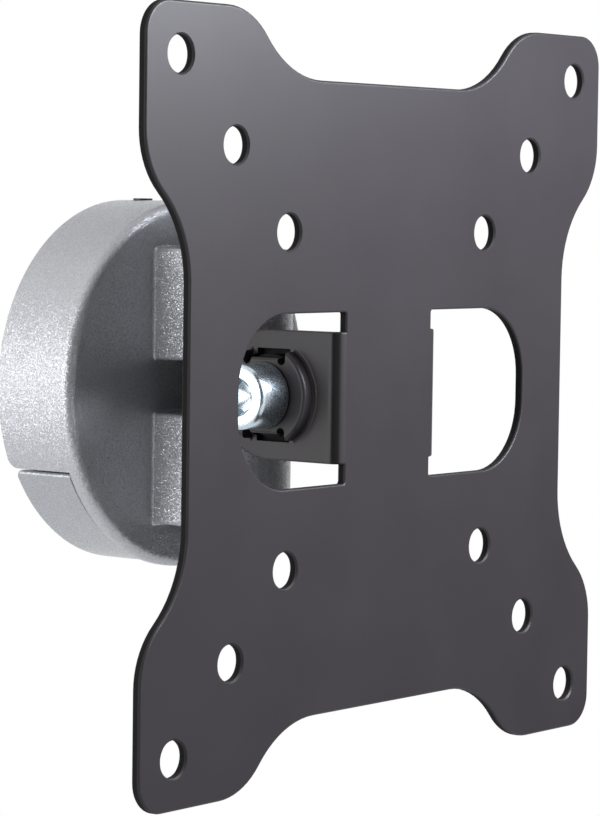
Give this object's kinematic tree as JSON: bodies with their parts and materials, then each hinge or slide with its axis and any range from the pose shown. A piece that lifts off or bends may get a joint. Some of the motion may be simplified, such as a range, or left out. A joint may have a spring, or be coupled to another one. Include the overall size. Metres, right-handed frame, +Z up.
{
  "type": "articulating monitor wall mount",
  "caption": "Small monitor wall mount: square black plate with waisted sides and folded ears, tilting on a knuckle that swivels between the lugs of a round silver wall cup.",
  "frame": {"origin": "centre of the wall plate's back face, on the wall", "axes": "+Z up, +Y into the wall, the screen plate faces -Y"},
  "size_m": [0.115, 0.0545, 0.115],
  "materials": {
    "black_powder_coat": "fine satin powder coat on steel sheet",
    "black_nylon": "moulded, dull",
    "friction_fibre": "pressed fibre",
    "zinc_plate": "bright zinc plate, faintly blue",
    "white_nylon": "moulded",
    "black_oxide": "black oxide on steel",
    "black_casting": "black paint on a steel casting",
    "silver_sparkle_paint": "silver paint with coarse flake on a casting",
    "silver_plastic": "smooth silver moulding",
    "pressed_steel": "zinc-plated pressed sheet"
  },
  "bodies": {
    "wall": {"wall_cup": "silver_sparkle_paint", "wall_plate": "pressed_steel", "lower_cover": "silver_plastic", "set_screw": "black_oxide", "swivel_bolt": "black_oxide", "swivel_washer": "black_oxide", "swivel_nut": "zinc_plate"},
    "knuckle": {"knuckle": "black_casting", "swivel_bush_upper": "black_nylon", "swivel_bush_lower": "black_nylon"},
    "plate": {"screen_plate": "black_powder_coat", "tilt_bush_left": "black_nylon", "tilt_bush_right": "black_nylon", "tilt_disc_left": "friction_fibre", "tilt_disc_right": "friction_fibre", "tilt_bolt": "zinc_plate", "tilt_head_washer": "black_oxide", "tilt_nut_washer": "zinc_plate", "tilt_nut": "zinc_plate", "tilt_nut_insert": "white_nylon"}
  },
  "joints": [
    {"name": "swivel", "type": "hinge", "parent": "wall", "child": "knuckle", "pos_m": [0, -0.023, 0], "axis": [0, 0, 1], "range_deg": [-45, 45]},
    {"name": "tilt", "type": "hinge", "parent": "knuckle", "child": "plate", "pos_m": [0, -0.042, 0], "axis": [1, 0, 0], "range_deg": [-15, 15]}
  ]
}
